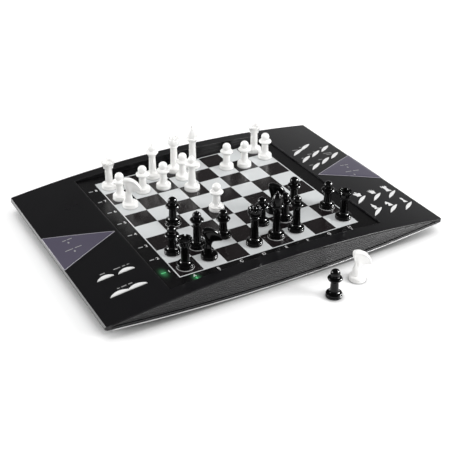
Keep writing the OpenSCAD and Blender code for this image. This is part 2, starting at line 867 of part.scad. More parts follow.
upper_housing();
lower_housing();
board_overlay();
led_windows();
side_inlays();
key_mats();
circuit_boards();
speaker();
battery_cells();
battery_door();
feet();
screws();
for (k = keys)
    sprung_key(k);
for (p = white_army)
    color(piece_white) placed(p);
for (p = black_army)
    color(piece_black) placed(p);
for (p = captured)
    color(p[0] == "black_pawn_8" ? piece_black : piece_white)
            translate([p[2], p[3], 0]) rotate([0, 0, p[4]]) chess_piece(p[1]);
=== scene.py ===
"""Fine surfaces and finishes of a table-top chess computer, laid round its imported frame.

Every piece is a numpy surface or a finished frame part. Sizes are in millimetres and become
metres where a mesh is made; finishes and the stage are in metres. X runs from the a file to the
h file, Y away from the player, Z up.
"""
import math

import bpy
import numpy as np
from bpy.props import FloatProperty, FloatVectorProperty, IntProperty, PointerProperty
from mathutils import Matrix, Vector


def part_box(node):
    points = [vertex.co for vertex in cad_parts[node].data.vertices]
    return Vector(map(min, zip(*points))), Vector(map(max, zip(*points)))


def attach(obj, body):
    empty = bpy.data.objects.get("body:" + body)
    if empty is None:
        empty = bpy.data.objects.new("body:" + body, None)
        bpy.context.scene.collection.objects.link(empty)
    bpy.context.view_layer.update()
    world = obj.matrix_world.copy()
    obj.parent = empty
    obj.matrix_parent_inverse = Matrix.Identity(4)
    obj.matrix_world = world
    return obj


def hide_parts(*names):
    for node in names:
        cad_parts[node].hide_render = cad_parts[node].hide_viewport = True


bl_info = {
    "name": "Chess Computer Finish",
    "version": (1, 0, 0),
    "blender": (4, 5, 0),
    "location": "View3D > Sidebar > Chess",
    "description": "Smooth pieces, keys, inlays and finishes for a table-top chess computer",
    "category": "Object",
}

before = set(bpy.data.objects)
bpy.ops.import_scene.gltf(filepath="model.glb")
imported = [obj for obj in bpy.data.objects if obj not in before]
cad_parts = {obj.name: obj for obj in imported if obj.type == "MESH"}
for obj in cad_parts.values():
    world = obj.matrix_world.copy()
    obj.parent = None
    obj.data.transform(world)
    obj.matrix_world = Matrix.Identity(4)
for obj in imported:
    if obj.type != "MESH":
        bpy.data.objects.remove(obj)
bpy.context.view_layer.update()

MM = 0.001
# The case: its sheet and well, its outer sides, and the arcs of its top and of its keel
BOARD_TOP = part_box("board_overlay")[1][2] / MM
WELL_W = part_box("board_overlay")[1][0] / MM * 2
WELL_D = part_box("board_overlay")[1][1] / MM * 2
HALF_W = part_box("upper_housing")[1][0] / MM
CASE_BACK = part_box("lower_housing")[1][1] / MM
CASE_FRONT = -129.4
ARCH_MID = 28.75
ARCH_DROP = 13.0
ARCH_R = (HALF_W**2 + ARCH_DROP**2) / (2 * ARCH_DROP)
KEEL_MID = 2.0
KEEL_RISE = 10.0
KEEL_R = (HALF_W**2 + KEEL_RISE**2) / (2 * KEEL_RISE)
# The front's ridges: heights of the first and of the skin's foot above the keel, the gap
# between its top and the arch, and how far its valleys stand in front of the plain ones
RIDGES = 9
RIDGE_PITCH = 2.2
RIDGE_DEPTH = 1.0
RIDGE_END = HALF_W - 6.5
RIDGE_RINGS = 151
RIDGE_FIRST = 4.2
RIDGE_LOW = 3.0
RIDGE_TOP = 1.9
RIDGE_CLEAR = 0.07
# Beads: radii and places; the front ones' lift is above the keel
BEAD_POINTS = 12
BACK_BEAD_R = 0.55
BACK_BEAD_INSET = 2
BACK_BEAD_PROUD = 0.05
BAND_R = 0.6
BAND_LIFT = 2.25
RIM_R = 0.75
RIM_LIFT = -0.2
LIP_R = 0.6
LIP_SINK = 0.5
LIP_OUT = 0.5
INLAY_BEAD_R = 0.35
INLAY_BEAD_SINK = -0.25
# The board: rows of squares, lines of the signal windows and the painted glow round the lit ones
SQUARES = 8
RANK_LAMP_X = -111.0
FILE_LAMP_Y = -109.6
RANK_MARK_GAP = 6
FILE_MARK_GAP = 4.6
GLOW_REACH = 2.2
GLOW_STRETCH = 1.7
GLOW_STRENGTH = 0.22
LAMP_STRENGTH = 0.34
LAMP_TONE = 0.3
# The inlays: tip, gap to the case's side, back and front corner
INLAY_TIP = 121.5
INLAY_MARGIN = 1.2
INLAY_BACK = 33.0
INLAY_FRONT = -30.0
INLAY_PROUD = 0.5
# The men's feet: radii, the plain foot's flange, and the pad's height and overhang
FOOT = 8.3
PAWN_FOOT = 7.9
FLANGE = 0.5
PAD = 0.8
PAD_OUT = 0.2


def arch(x):
    """Height of the top surface: a wide circle arc through the middle and both wing tips."""
    return ARCH_MID - ARCH_R + np.sqrt(ARCH_R**2 - x**2)


# ---- Settings ----


class FinishSettings(bpy.types.PropertyGroup):
    """Colours of the object's surfaces."""

    body: FloatVectorProperty(
        name="Body", description="Satin moulding of the housing", subtype="COLOR",
        default=(0.0050, 0.0048, 0.0058), min=0, max=1)
    # The rim's pale grey is a painted highlight on a bead of the black case
    rim: FloatVectorProperty(
        name="Rim", description="Bright bead under the ribbed front", subtype="COLOR",
        default=(0.46, 0.46, 0.465), min=0, max=1)
    dark_square: FloatVectorProperty(
        name="Dark square", description="Printed dark squares", subtype="COLOR",
        default=(0.0120, 0.0095, 0.0100), min=0, max=1)
    margin: FloatVectorProperty(
        name="Board margin", description="Printed black round the squares", subtype="COLOR",
        default=(0.0040, 0.0038, 0.0042), min=0, max=1)
    light_square: FloatVectorProperty(
        name="Light square", description="Printed light squares", subtype="COLOR",
        default=(0.65, 0.67, 0.675), min=0, max=1)
    key: FloatVectorProperty(
        name="Keys", description="Pearl of the keys", subtype="COLOR",
        default=(0.78, 0.78, 0.78), min=0, max=1)
    inlay: FloatVectorProperty(
        name="Inlays", description="Pearl grey of the side inlays", subtype="COLOR",
        default=(0.080, 0.072, 0.106), min=0, max=1)
    sign: FloatVectorProperty(
        name="Signs", description="Printed signs and numbers", subtype="COLOR",
        default=(0.72, 0.72, 0.72), min=0, max=1)
    light_men: FloatVectorProperty(
        name="White men", description="Plastic of the white men", subtype="COLOR",
        default=(0.92, 0.915, 0.90), min=0, max=1)
    pad: FloatVectorProperty(
        name="Pads", description="Thin pads under the men", subtype="COLOR",
        default=(0.52, 0.52, 0.52), min=0, max=1)
    dark_men: FloatVectorProperty(
        name="Black men", description="Plastic of the black men", subtype="COLOR",
        default=(0.0020, 0.0020, 0.0021), min=0, max=1)
    lamp: FloatVectorProperty(
        name="Lit lamp", description="Colour of a lit signal window", subtype="COLOR",
        default=(0.16, 0.85, 0.33), min=0, max=1)


class SizeSettings(bpy.types.PropertyGroup):
    """Sizes that only the finish needs, in millimetres."""

    square: FloatProperty(
        name="Square", description="Side of one square", default=25.0, min=20, max=30)
    border: FloatProperty(
        name="Border line", description="Width of the line round the squares", default=1.1,
        min=0.2, max=2)
    border_gap: FloatProperty(
        name="Border gap", description="Gap between the squares and the line", default=0.0,
        min=0, max=4)
    digit: FloatProperty(
        name="Digits", description="Height of the rank numbers and file letters", default=4.0,
        min=2, max=8)
    turn_steps: IntProperty(
        name="Turning steps", description="Faces round a turned piece", default=64, min=24,
        max=128)


class StageSettings(bpy.types.PropertyGroup):
    """Camera and lights."""

    eye: FloatVectorProperty(
        name="Camera", description="Place of the camera", subtype="TRANSLATION", unit="LENGTH",
        default=(-0.4081, -0.7284, 0.5036))
    azimuth: FloatProperty(
        name="Azimuth", description="Turn of the camera round the object, in degrees",
        default=-29.551, min=-180, max=180)
    elevation: FloatProperty(
        name="Elevation", description="Height angle of the camera, in degrees", default=31.43,
        min=0, max=90)
    roll: FloatProperty(
        name="Roll", description="Roll of the camera, in degrees", default=0.178, min=-10, max=10)
    lens: FloatProperty(
        name="Lens", description="Focal length on a 36 mm sensor", default=73.4, min=20, max=200)
    right_power: FloatProperty(
        name="Right softbox", description="Power of the softbox on the right", default=12.5,
        min=0, max=100)
    left_power: FloatProperty(
        name="Left softbox", description="Power of the softbox on the left", default=3.0,
        min=0, max=100)
    top_power: FloatProperty(
        name="Top softbox", description="Power of the softbox overhead", default=3.0, min=0,
        max=100)
    rim_power: FloatProperty(
        name="Low softbox", description="Power of the low softbox behind the left wing",
        default=6.0, min=0, max=100)
    glint_power: FloatProperty(
        name="Glints", description="Power of the small lamps that only glint in the men",
        default=90.0, min=0, max=200)
    ambient: FloatProperty(
        name="Ambient", description="Strength of the room's light", default=0.66, min=0, max=2)


# ---- Meshes ----


def new_piece(name, vertices, faces, material, body, slot, smooth=True):
    """Makes an object at the origin from points in millimetres and lets it ride on a body."""
    mesh = bpy.data.meshes.new(name)
    mesh.from_pydata((np.asarray(vertices, float) * MM).tolist(), [], faces)
    mesh.materials.append(material)
    mesh.polygons.foreach_set("use_smooth", np.full(len(mesh.polygons), smooth))
    mesh.update()
    piece = bpy.data.objects.new(name, mesh)
    bpy.context.scene.collection.objects.link(piece)
    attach(piece, body)
    return piece


def tube(grid):
    """Closes a grid of rings, shaped (rings, round, 3), into one skin.

    Ring i joins ring i + 1 with quads that wrap round; the first and last ring each close on
    a pole at their mean point.
    """
    rings, around = grid.shape[:2]
    first, last = grid[0].mean(axis=0), grid[-1].mean(axis=0)
    vertices = np.vstack([grid.reshape(-1, 3), first, last])
    i, j = np.meshgrid(np.arange(rings - 1), np.arange(around), indexing="ij")
    k = (j + 1) % around
    quads = np.stack([i * around + j, i * around + k, (i + 1) * around + k,
                      (i + 1) * around + j], axis=-1).reshape(-1, 4)
    j, k = j[0], k[0]
    start = np.stack([np.full(around, rings * around), k, j], axis=-1)
    end = (rings - 1) * around
    finish = np.stack([np.full(around, rings * around + 1), end + j, end + k], axis=-1)
    return vertices, quads.tolist() + start.tolist() + finish.tolist()


def ring_tube(grid):
    """Closes a grid both ways, so that the last ring joins the first, as in a hoop."""
    rings, around = grid.shape[:2]
    i, j = np.meshgrid(np.arange(rings), np.arange(around), indexing="ij")
    n, k = (i + 1) % rings, (j + 1) % around
    quads = np.stack([i * around + j, i * around + k, n * around + k, n * around + j], axis=-1)
    return grid.reshape(-1, 3), quads.reshape(-1, 4).tolist()


def joined(*skins):
    """One list of points and faces from several closed skins."""
    vertices, faces, base = [], [], 0
    for points, polygons in skins:
        vertices.append(points)
        faces += [[base + v for v in polygon] for polygon in polygons]
        base += len(points)
    return np.vstack(vertices), faces


def soft_outline(corners, steps=5):
    """An outline of [r, z, cut] corners: each is cut back by its own distance on both sides
    and the two cut points are joined by a parabola that the corner pulls."""
    c = np.asarray(corners, float)
    points, cut = c[:, :2], c[:, 2:]
    before = points - np.roll(points, 1, axis=0)
    after = np.roll(points, -1, axis=0) - points
    before, after = (v / np.maximum(np.linalg.norm(v, axis=1, keepdims=True), 1e-9)
                     for v in (before, after))
    t = np.linspace(0, 1, steps)[None, :, None]
    a, b = points - before * cut, points + after * cut
    curve = (1 - t) ** 2 * a[:, None] + 2 * t * (1 - t) * points[:, None] + t**2 * b[:, None]
    soft = curve.reshape(-1, 2)
    keep = np.r_[True, np.linalg.norm(np.diff(soft, axis=0), axis=1) > 1e-4]
    return soft[keep]


def revolve(outline, steps):
    """Turns an outline of [r, z] points round the Z axis: (r cos a, r sin a, z)."""
    a = np.linspace(0, 2 * np.pi, steps, endpoint=False)
    r, z = outline[:, :1], outline[:, 1:]
    return np.stack([r * np.cos(a), r * np.sin(a), z + 0 * a], axis=-1)


def ball(radius, height, low, high, steps=12):
    """Points of a ball's outline from one height angle to another, in degrees."""
    a = np.radians(np.linspace(low, high, steps))
    return np.stack([radius * np.cos(a), height + radius * np.sin(a)], axis=-1)


def superellipse(count, power):
    """Points round a squared circle: cosine and sine, each raised to a power below one."""
    a = np.linspace(0, 2 * np.pi, count, endpoint=False)
    c, s = np.cos(a), np.sin(a)
    return np.sign(c) * np.abs(c) ** power, np.sign(s) * np.abs(s) ** power


def moved(skin, place=(0, 0, 0), turn=0.0):
    """A skin turned about Z by degrees and moved."""
    points, faces = skin
    a = math.radians(turn)
    spin = np.array([[math.cos(a), math.sin(a), 0], [-math.sin(a), math.cos(a), 0], [0, 0, 1]])
    return points @ spin + np.asarray(place, float), faces


# ---- Materials ----

COAT_ROUGHNESS = 0.06
GRAIN_DEPTH = 0.0004
CLOUD_SCALE = 35
FAINT_PRINT = 0.42


class Graph:
    """The nodes of a material or the world, and short ways to add and join them."""

    def __init__(self, tree):
        self.nodes, self.links = tree.nodes, tree.links
        self.shader = tree.nodes.get("Principled BSDF") or tree.nodes["Background"]

    def feed(self, node, inputs):
        """Sets each named input from a value or a socket."""
        for name, value in inputs.items():
            if isinstance(value, bpy.types.NodeSocket):
                self.links.new(value, node.inputs[name])
            else:
                node.inputs[name].default_value = value

    def add(self, kind, inputs=None, **options):
        """Adds a node with its options and inputs, and gives its outputs."""
        node = self.nodes.new("ShaderNode" + kind)
        for name, value in options.items():
            setattr(node, name, value)
        self.feed(node, inputs or {})
        return node.outputs

    def axes(self, space="Object"):
        """X, Y and Z of a place."""
        return self.add("SeparateXYZ", {"Vector": self.add("TexCoord")[space]}).values()

    def math(self, operation, *values):
        """A sum on sockets or plain numbers."""
        return self.add("Math", dict(enumerate(values)), operation=operation)[0]

    def mix(self, share, first, second):
        """A blend from a colour or a socket to a second colour."""
        if not isinstance(first, bpy.types.NodeSocket):
            first = (*first, 1)
        return self.add("Mix", {"Factor": share, "A": first, "B": (*second, 1)},
                        data_type="RGBA")["Result"]

    def ramp(self, value, start, end, low, high):
        """A clamped straight line: low up to the start, high from the end on."""
        return self.add("MapRange", {"Value": value, "From Min": start, "From Max": end,
                                     "To Min": low, "To Max": high})["Result"]

    def base_colour(self):
        """The socket that colours the shader."""
        return self.shader.inputs["Base Color"].links[0].from_socket


def finish_of(name, colour, roughness, grain=(2600, 0.02), mottle=0.0, coat=0.0, spread=0.06,
              gleam=0.5):
    """A moulded or printed finish: fine grain as bump, cloudy roughness and, where it has a
    mottle, a cloudy colour, all in Object coordinates."""
    material = bpy.data.materials.new(name)
    material.use_nodes = True
    graph = Graph(material.node_tree)
    where = graph.add("TexCoord")["Object"]
    fine = graph.add("TexNoise", {"Vector": where, "Scale": grain[0], "Detail": 3})
    bump = graph.add("Bump", {"Strength": grain[1], "Distance": GRAIN_DEPTH,
                              "Height": fine["Fac"]})
    cloud = graph.add("TexNoise", {"Vector": where, "Scale": CLOUD_SCALE, "Detail": 4})["Fac"]
    tone = (*colour, 1)
    if mottle:
        dull, vivid = ([min(1, c * share) for c in colour] for share in (1 - mottle, 1 + mottle))
        tone = graph.mix(cloud, dull, vivid)
    graph.feed(graph.shader, {
        "Coat Weight": coat, "Coat Roughness": COAT_ROUGHNESS, "Specular IOR Level": gleam,
        "Normal": bump["Normal"], "Base Color": tone,
        "Roughness": graph.ramp(cloud, 0, 1, roughness - spread, roughness + spread)})
    return material


def printed_board(finish, size):
    """The printed sheet: squares and border by sums on X and Y, plus a painted glow round each
    lit window, emitted by the sheet: a Gaussian of the distance that reaches further along Y."""
    material = finish_of("printed_board", finish.dark_square, 0.24, grain=(1800, 0.02),
                         mottle=0.08, gleam=0.4)
    graph = Graph(material.node_tree)
    calc = graph.math
    x, y = graph.axes()[:2]
    step = size.square * MM
    half = SQUARES / 2 * step
    column, row = (calc("FLOOR", calc("DIVIDE", calc("ADD", axis, half), step))
                   for axis in (x, y))
    pale = calc("MODULO", calc("ADD", calc("ADD", column, row), 2 * SQUARES), 2)
    far = calc("MAXIMUM", calc("ABSOLUTE", x), calc("ABSOLUTE", y))
    inside = calc("LESS_THAN", far, half)
    line_in = half + size.border_gap * MM
    line = calc("MULTIPLY", calc("GREATER_THAN", far, line_in),
                calc("LESS_THAN", far, line_in + size.border * MM))
    paint = graph.mix(calc("SUBTRACT", 1, inside), graph.base_colour(), finish.margin)
    light = calc("MAXIMUM", calc("MULTIPLY", pale, inside), line)
    paint = graph.mix(light, paint, finish.light_square)

    # Painted glow: the sheet itself emits round the lit windows
    glow = None
    lit = (SQUARES - 1) / 2 * step
    for lamp_x, lamp_y in ((RANK_LAMP_X * MM, -lit), (-lit, FILE_LAMP_Y * MM)):
        dx = calc("SUBTRACT", x, lamp_x)
        dy = calc("MULTIPLY", calc("SUBTRACT", y, lamp_y), 1 / GLOW_STRETCH)
        square_of = calc("ADD", calc("MULTIPLY", dx, dx), calc("MULTIPLY", dy, dy))
        spot = calc("EXPONENT", calc("MULTIPLY", square_of, -1 / (2 * (GLOW_REACH * MM) ** 2)))
        glow = spot if glow is None else calc("ADD", glow, spot)
    graph.feed(graph.shader, {
        "Base Color": paint, "Emission Color": (*finish.lamp, 1),
        "Emission Strength": calc("MULTIPLY", glow, GLOW_STRENGTH)})
    return material


def dress(node, material):
    """Gives a frame part its finish."""
    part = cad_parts[node]
    part.data.materials.clear()
    part.data.materials.append(material)


def finishes():
    """The settings of the finish."""
    return bpy.context.scene.chess_finish


def sizes():
    """The settings of the fine sizes."""
    return bpy.context.scene.chess_size


def print_finish(name, tone=1.0):
    """The pale print of signs, digits and letters, or a greyer tone of it, made once."""
    colour = [tone * c for c in finishes().sign]
    return bpy.data.materials.get(name) or finish_of(name, colour, 0.5, mottle=0.03)


# ---- Housing ----


def fill_path(points, longest):
    """Adds evenly spaced points on each stretch of a closed path that is longer than allowed."""
    filled = []
    for a, b in zip(points, np.roll(points, -1, axis=0)):
        count = max(1, int(np.linalg.norm(b - a) / longest))
        t = np.arange(count)[:, None] / count
        filled.append(a + (b - a) * t)
    return np.vstack(filled)


def bead(path, radius, sink, proud):
    """A round bead carried along a closed plan path: a circle that stands across the path,
    with its centre sunk below the arch, or raised where that is negative, and moved out."""
    ahead = np.roll(path, -1, axis=0) - np.roll(path, 1, axis=0)
    ahead /= np.linalg.norm(ahead, axis=1, keepdims=True)
    outward = np.stack([ahead[:, 1], -ahead[:, 0]], axis=-1)
    a = np.linspace(0, 2 * np.pi, BEAD_POINTS, endpoint=False)
    flat = path[:, None] + outward[:, None] * (proud + radius * np.cos(a))[None, :, None]
    height = arch(path[:, 0])[:, None] - sink - radius * np.sin(a)
    return ring_tube(np.concatenate([flat, height[..., None]], axis=-1))


def bead_across(end, rings, y, height, radius):
    """A round bead from wing to wing: circles across x whose middle follows a height that is
    a function of x."""
    x = np.linspace(-end, end, rings)[:, None]
    a = np.linspace(0, 2 * np.pi, BEAD_POINTS, endpoint=False)
    return tube(np.stack([x + 0 * a, y + radius * np.cos(a) + 0 * x,
                          height(x) + radius * np.sin(a)], axis=-1))


def back_bead():
    """A round bead that follows the arch along the back edge."""
    inset = BACK_BEAD_R - BACK_BEAD_PROUD
    return bead_across(HALF_W - BACK_BEAD_INSET, 90, CASE_BACK - inset,
                       lambda x: arch(x) - inset, BACK_BEAD_R)


def keel(x):
    """Height of the underside: a circle arc that rises to both wing tips."""
    return KEEL_MID + KEEL_R - np.sqrt(KEEL_R**2 - x**2)


def front_bead(lift, radius):
    """A round bead along the bottom of the ribbed front, at one height above the keel."""
    return bead_across(RIDGE_END, RIDGE_RINGS, CASE_FRONT, lambda x: keel(x) + lift, radius)


def ridges_skin():
    """The ribbed front with round ridges: at each place the distance from the keel's arc gives
    the height of a cosine wave, which ends after the last ridge."""
    x = np.linspace(-RIDGE_END, RIDGE_END, RIDGE_RINGS)[:, None]
    low = keel(x) + RIDGE_LOW
    high = np.maximum(arch(x) - RIDGE_TOP, low + 0.1)
    z = low + (high - low) * np.linspace(0, 1, 121)
    lift = KEEL_R - np.hypot(x, KEEL_MID + KEEL_R - z)
    phase = (lift - RIDGE_FIRST) / RIDGE_PITCH
    wave = np.where(np.abs(phase - (RIDGES - 1) / 2) < RIDGES / 2,
                    0.5 + 0.5 * np.cos(2 * np.pi * phase), 0)
    front = CASE_FRONT + RIDGE_DEPTH - RIDGE_CLEAR - RIDGE_DEPTH * wave
    back = np.full_like(x, CASE_FRONT + RIDGE_DEPTH + 1)
    y = np.hstack([front, back, back])
    z = np.hstack([z, high, low])
    return tube(np.stack([x + 0 * y, y, z], axis=-1))


class CHESS_OT_housing(bpy.types.Operator):
    """Finishes both housings and adds the round ridges, the band and the rim under them, the
    rim's pale grey a painted highlight, and the beads along the back edge and the well's mouth"""

    bl_idname = "chess.housing"
    bl_label = "Housing"

    def execute(self, context):
        body = finish_of("satin_black", finishes().body, 0.3, grain=(2400, 0.04), mottle=0.06,
                         coat=0.4, gleam=0.2)
        under = finish_of("textured_black", finishes().body, 0.5, grain=(1500, 0.2), mottle=0.1)
        dress("upper_housing", body)
        dress("lower_housing", body)
        dress("battery_door", under)
        new_piece("back_bead", *back_bead(), body, "console", "shell")
        ribbed = finish_of("ribbed_black", finishes().body, 0.34, grain=(2400, 0.0), mottle=0.06)
        new_piece("front_ridges", *ridges_skin(), ribbed, "console", "shell")
        new_piece("front_band", *front_bead(BAND_LIFT, BAND_R), ribbed, "console", "base")
        # The rim bead's pale grey is a painted highlight
        rim_highlight_paint = finish_of("rim_painted_highlight", finishes().rim, 0.2, mottle=0.04, coat=1.0)
        new_piece("front_rim", *front_bead(RIM_LIFT, RIM_R), rim_highlight_paint, "console", "base")
        x, y = WELL_W / 2, WELL_D / 2
        mouth = fill_path(np.array([[x, y], [-x, y], [-x, -y], [x, -y]], float), 6.0)
        new_piece("well_lip", *bead(mouth, LIP_R, LIP_SINK, LIP_OUT), body, "console", "shell")
        return {"FINISHED"}


# ---- Board ----

# Size of the plain face for a capital one unit high, and height of the print
FACE_PER_CAPITAL = 1.38
PRINT_LIFT = 0.04


def printed_text(words):
    """Flat letters as one skin: each word is set in the plain face, laid on the sheet and
    lifted by a hair."""
    skins = []
    for word, x, y, height in words:
        curve = bpy.data.curves.new("word", "FONT")
        curve.body = word
        curve.size = height * FACE_PER_CAPITAL
        curve.align_x = "CENTER"
        curve.align_y = "CENTER"
        curve.extrude = 0.03
        curve.offset = 0.06
        holder = bpy.data.objects.new("word", curve)
        mesh = bpy.data.meshes.new_from_object(holder)
        flat = np.empty(len(mesh.vertices) * 3)
        mesh.vertices.foreach_get("co", flat)
        skins.append((flat.reshape(-1, 3) + (x, y, BOARD_TOP + PRINT_LIFT),
                      [list(face.vertices) for face in mesh.polygons]))
        bpy.data.objects.remove(holder)
        bpy.data.curves.remove(curve)
        bpy.data.meshes.remove(mesh)
    return joined(*skins)


class CHESS_OT_board(bpy.types.Operator):
    """Prints the squares, border, rank numbers and file letters and lights two windows"""

    bl_idname = "chess.board"
    bl_label = "Board"

    def execute(self, context):
        size = sizes()
        dress("board_overlay", printed_board(finishes(), size))
        dress("led_windows", windows_finish(finishes(), size))
        centres = [(i - (SQUARES - 1) / 2) * size.square for i in range(SQUARES)]
        words = [(digit, RANK_LAMP_X + RANK_MARK_GAP, y, size.digit)
                 for digit, y in zip("12345678", centres)]
        words += [(letter, x, FILE_LAMP_Y + FILE_MARK_GAP, size.digit * 0.9)
                  for letter, x in zip("ABCDEFGH", centres)]
        new_piece("rank_and_file_marks", *printed_text(words), print_finish("pale_print"),
                  "console", "overlay", False)
        return {"FINISHED"}


def windows_finish(finish, size):
    """Clear windows: grey at rest, green where the first rank's and first file's are lit."""
    material = finish_of("signal_window", (0.42, 0.43, 0.43), 0.3, mottle=0.05)
    graph = Graph(material.node_tree)
    x, y = graph.axes()[:2]
    edge = -(SQUARES / 2 - 1) * size.square * MM
    lit = graph.math("LESS_THAN", graph.math("ADD", x, y),
                     edge + min(RANK_LAMP_X, FILE_LAMP_Y) * MM)
    green = [c * LAMP_TONE for c in finish.lamp]
    graph.feed(graph.shader, {
        "Base Color": graph.mix(lit, graph.base_colour(), green),
        "Emission Color": (*finish.lamp, 1),
        "Emission Strength": graph.math("MULTIPLY", lit, LAMP_STRENGTH)})
    return material


# ---- Keys ----

LEAF = (22.0, 2.4, 1.3)
LEAF_TURN = 34.0
KEY_PROUD = 1.4
KEY_TIP = 1.2
# Half length of each hump of a double key, as a share of the key's half length
HUMP = 0.54
# node: (x, y, turn, length, back bulge, front bulge, humps)
KEYS = {
    "key_power": (-159.8, -66, 0, 17, 4.4, 0, 1),
    "key_display": (-139.1, -67, 0, 17, 4.4, 0, 1),
    "key_training": (-149.3, -95, 0, 37, 4.4, 0, 2),
    "key_menu_double": (141, 62.5, 31, 42, *LEAF[1:], 2),
}
for _row in range(2):
    for _column in range(3):
        KEYS[f"key_menu_{1 + 3 * _row + _column}"] = (
            131.3 + 19.4 * _column, 38.3 + 9.4 * _column - 19.8 * _row, LEAF_TURN, *LEAF, 1)
for _i, _name in enumerate(("king", "queen", "rook", "bishop", "knight", "pawn")):
    KEYS["key_" + _name] = (131 + 20.2 * (_i % 3), -67.3 - 28 * (_i // 3), LEAF_TURN, *LEAF, 1)


def key_skin(x, y, turn, length, back, front, humps):
    """A sprung key: rings across its length, from tip to tip. Each ring is a squared oval
    whose width follows the back and front bulges and whose top is domed over the arch."""
    t = np.sin(np.linspace(-1, 1, 33 if humps == 1 else 57) * np.pi / 2)
    if humps == 1:
        swell = 1 - t**2
    else:
        swell = np.maximum(1 - ((np.abs(t) - (1 - HUMP)) / HUMP) ** 2, 0)
    ends = np.clip((1 - np.abs(t)) * length / 2 / KEY_TIP, 0, 1) ** 0.5
    top_y, low_y = back * swell, -front * swell
    c, s = superellipse(28, 0.55)
    half = (top_y - low_y)[:, None] / 2
    across = (top_y + low_y)[:, None] / 2 + half * c
    dome = KEY_PROUD * (0.72 + 0.28 * np.minimum(half / 3, 1)) * np.abs(s) ** 0.6
    up = np.where(s > 0, dome * ends[:, None], -0.5)
    along = (t * length / 2)[:, None] + 0 * c
    a = math.radians(turn)
    gx = x + along * math.cos(a) - across * math.sin(a)
    gy = y + along * math.sin(a) + across * math.cos(a)
    return tube(np.stack([gx, gy, arch(gx) + up], axis=-1)[:, ::-1])


class CHESS_OT_keys(bpy.types.Operator):
    """Sets the domed pearl keys in place of the plain ones"""

    bl_idname = "chess.keys"
    bl_label = "Keys"

    def execute(self, context):
        pearl = finish_of("pearl_key", finishes().key, 0.32, grain=(1600, 0.02), mottle=0.03,
                          coat=0.25)
        for node, values in KEYS.items():
            piece = new_piece(node + "_cap", *key_skin(*values), pearl, node, "key_cap")
            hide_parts(node)
        return {"FINISHED"}


# ---- Signs ----

# Right halves of the symmetric pictograms on the unit square, from the foot to the top
HALF_SIGNS = {
    "king": [(0.62, -1), (0.62, -0.76), (0.5, -0.7), (0.95, 0.12), (0.78, 0.42), (0.38, 0.4),
             (0.12, 0.2), (0.12, 0.56), (0.32, 0.56), (0.32, 0.76), (0.12, 0.76), (0.12, 1)],
    "queen": [(0.6, -1), (0.6, -0.74), (0.5, -0.66), (0.95, 0.56), (0.6, 0.0), (0.5, 0.8),
              (0.24, 0.05), (0, 1)],
    "rook": [(0.75, -1), (0.75, -0.7), (0.5, -0.56), (0.5, 0.36), (0.8, 0.5), (0.8, 1),
             (0.45, 1), (0.45, 0.76), (0.2, 0.76), (0.2, 1)],
    "bishop": [(0.7, -1), (0.7, -0.78), (0.3, -0.68), (0.3, -0.5), (0.56, -0.2), (0.5, 0.2),
               (0.14, 0.64), (0.22, 0.8), (0.12, 0.96), (0, 1)],
    "pawn": [(0.6, -1), (0.6, -0.74), (0.25, -0.2), (0.42, -0.06), (0.2, 0.06), (0.42, 0.36),
             (0.42, 0.68), (0.22, 0.94), (0, 1)],
    "bar": [(1, -1), (1, 1)],
    "lozenge": [(0, -1), (1, 0), (0, 1)],
}
# Whole outlines of the others
WHOLE_SIGNS = {
    "knight": [(-0.6, -1), (0.65, -1), (0.65, -0.74), (0.5, -0.1), (0.3, 0.5), (0.06, 0.8),
               (0, 1), (-0.16, 0.8), (-0.45, 0.56), (-0.85, 0), (-0.74, -0.26), (-0.54, -0.2),
               (-0.2, -0.04), (-0.1, -0.12), (-0.55, -0.72)],
    "arrow": [(-1, 0), (0, -1), (0, -0.36), (1, -0.36), (1, 0.36), (0, 0.36), (0, 1)],
}
# (pictogram, x, y, width, height) beside the piece keys
PIECE_SIGNS = [
    ("king", 133.6, -54.9, 10, 9.5), ("queen", 152.9, -54.7, 10, 9.5),
    ("rook", 173.5, -53.5, 9, 12), ("bishop", 134, -84, 9, 11), ("knight", 152.9, -83.6, 9.5, 10),
    ("pawn", 174.4, -81.8, 8, 10),
]
# The same beside the other keys
CASE_SIGNS = [
    ("bar", -159.6, -57.4, 5, 1.2), ("bar", -145, -57.8, 7, 1.2), ("bar", -138, -57.8, 3, 1.2),
    ("arrow", -133.6, -57.8, 3, 2), ("arrow", -156, -86.3, 3, 2), ("bar", -150.5, -86.3, 5, 1.2),
    ("bar", -144, -86.3, 4, 1.2),
    ("bar", 133, 64.2, 8, 1.2), ("arrow", 143, 69, 4, 2), ("lozenge", 166.8, 61, 3.6, 3),
    ("bar", 143, 49.4, 6, 1.2), ("arrow", 152, 53.6, 3.6, 2), ("lozenge", 129, 42.3, 3.6, 3),
    ("bar", 165.6, 46, 11, 1.1), ("bar", 166, 42.6, 8, 1.1), ("arrow", 146.5, 33, 6, 2.2),
    ("bar", 128, 23.5, 5, 1.2),
]
# The same on the inlays
INLAY_SIGNS = [
    ("bar", -169.5, 14.8, 4, 1), ("bar", -164, 14.8, 5, 1), ("lozenge", -167, 9.4, 2.2, 3.6),
    ("bar", -171, -2.7, 8, 1), ("bar", -161.5, -2.7, 7, 1), ("lozenge", -167, -7.6, 2.2, 3.6),
    ("bar", 161.5, 11, 4.6, 1), ("bar", 167.5, 11, 4.6, 1), ("lozenge", 165, 5, 2.2, 3.6),
    ("bar", 159, -5, 8, 1), ("bar", 169, -5, 8, 1), ("lozenge", 161, -13.5, 2.2, 3.6),
]
SIGN_THICK = 0.08
SIGN_LIFT = 0.05
INLAY_SIGN_LIFT = 0.56


